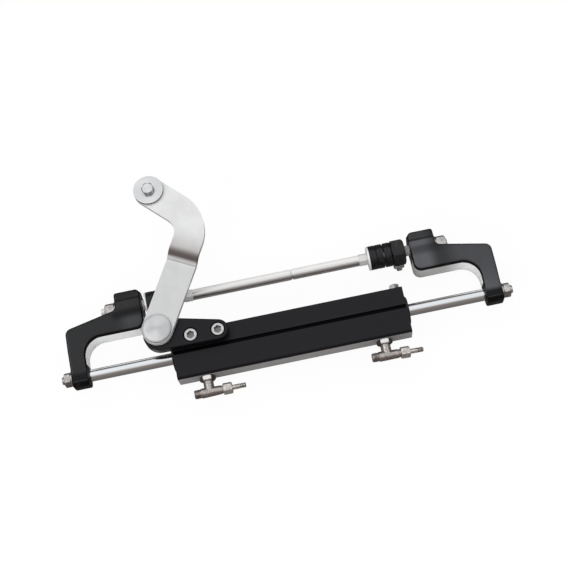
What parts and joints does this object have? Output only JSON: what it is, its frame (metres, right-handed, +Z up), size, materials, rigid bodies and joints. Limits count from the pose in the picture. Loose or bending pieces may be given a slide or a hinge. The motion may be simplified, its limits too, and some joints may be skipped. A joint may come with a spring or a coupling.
{
  "type": "hydraulic steering cylinder",
  "caption": "Balanced hydraulic steering cylinder that slides on a fixed piston rod between two arms on a tilt rod, with oil tees and a bent link arm to the tiller.",
  "frame": {"origin": "middle of the tilt rod, half way between the two support arms", "axes": "+X along the tilt rod, +Y from the piston rod towards the tiller bolt, +Z up through the link arm"},
  "size_m": [0.66, 0.3336, 0.095],
  "materials": {
    "black_casting": "gloss black coating on cast and extruded aluminium",
    "black_ring": "satin black anodised",
    "ground_rod": "ground and polished",
    "stainless_fastener": "turned bright",
    "satin_stainless": "satin bead-blasted",
    "nickel_brass": "nickel plated",
    "seal_rubber": "matt",
    "bearing_plastic": "matt",
    "piston_metal": "turned"
  },
  "bodies": {
    "carrier": {"left_arm": "black_casting", "right_arm": "black_casting", "tilt_rod_left": "ground_rod", "tilt_rod_right": "ground_rod", "tilt_end_washers": "stainless_fastener", "tilt_end_nuts": "stainless_fastener", "piston_rod": "ground_rod", "rod_end_washers": "stainless_fastener", "rod_end_nuts": "stainless_fastener", "piston": "piston_metal", "piston_seal": "seal_rubber", "piston_snap_rings": "stainless_fastener"},
    "left_spacers": {"left_spacer_washers": "stainless_fastener", "left_spacer_rings": "black_ring"},
    "right_spacers": {"right_spacer_washer": "stainless_fastener", "right_spacer_rings": "black_ring"},
    "outer_spacer": {"outer_spacer_ring": "black_ring"},
    "adjuster": {"adjusting_nut": "black_ring", "adjusting_nut_bolt": "stainless_fastener"},
    "cylinder": {"cylinder_body": "black_casting", "left_gland": "black_ring", "right_gland": "black_ring", "rod_seals": "seal_rubber", "rod_wipers": "seal_rubber", "gland_o_rings": "seal_rubber", "gland_lock_screws": "stainless_fastener", "port_adapters": "nickel_brass", "left_tee": "nickel_brass", "right_tee": "nickel_brass", "lug_plate": "black_casting", "lug_screws": "stainless_fastener", "pivot_pin": "stainless_fastener", "pivot_thrust_washer": "bearing_plastic"},
    "left_bleed": {"left_bleed_screw": "nickel_brass"},
    "right_bleed": {"right_bleed_screw": "nickel_brass"},
    "link": {"link_arm": "satin_stainless", "pivot_bush": "bearing_plastic", "tiller_bush": "bearing_plastic"},
    "tiller_fastener": {"tiller_bolt": "stainless_fastener", "tiller_washer": "stainless_fastener", "tiller_low_washer": "stainless_fastener", "tiller_lock_nut": "stainless_fastener"}
  },
  "joints": [
    {"name": "cylinder_slide", "type": "slide", "parent": "carrier", "child": "cylinder", "axis": [1, 0, 0], "range_m": [-0.105, 0.095]},
    {"name": "link_pivot", "type": "hinge", "parent": "cylinder", "child": "link", "pos_m": [-0.178, -0.0575, 0.045], "axis": [0, 0, 1], "range_deg": [-30, 30]},
    {"name": "tiller_pivot", "type": "hinge", "parent": "link", "child": "tiller_fastener", "pos_m": [-0.15663, 0.15114, 0.055], "axis": [0, 0, 1], "continuous": true},
    {"name": "left_spacer_slide", "type": "slide", "parent": "carrier", "child": "left_spacers", "axis": [1, 0, 0], "range_m": [-0.0051, 0.0203]},
    {"name": "right_spacer_slide", "type": "slide", "parent": "carrier", "child": "right_spacers", "axis": [1, 0, 0], "range_m": [0, 0.0012]},
    {"name": "outer_spacer_slide", "type": "slide", "parent": "carrier", "child": "outer_spacer", "axis": [1, 0, 0], "range_m": [-0.0012, 0]},
    {"name": "adjuster_turn", "type": "hinge", "parent": "carrier", "child": "adjuster", "pos_m": [0.182, 0, 0], "axis": [1, 0, 0], "continuous": true},
    {"name": "left_bleed_turn", "type": "hinge", "parent": "cylinder", "child": "left_bleed", "pos_m": [-0.1, -0.1518, 0.008], "axis": [1, 0, 0], "range_deg": [0, 360]},
    {"name": "right_bleed_turn", "type": "hinge", "parent": "cylinder", "child": "right_bleed", "pos_m": [0.133, -0.1518, 0.008], "axis": [0.9954, 0, -0.0958], "range_deg": [0, 360]}
  ]
}
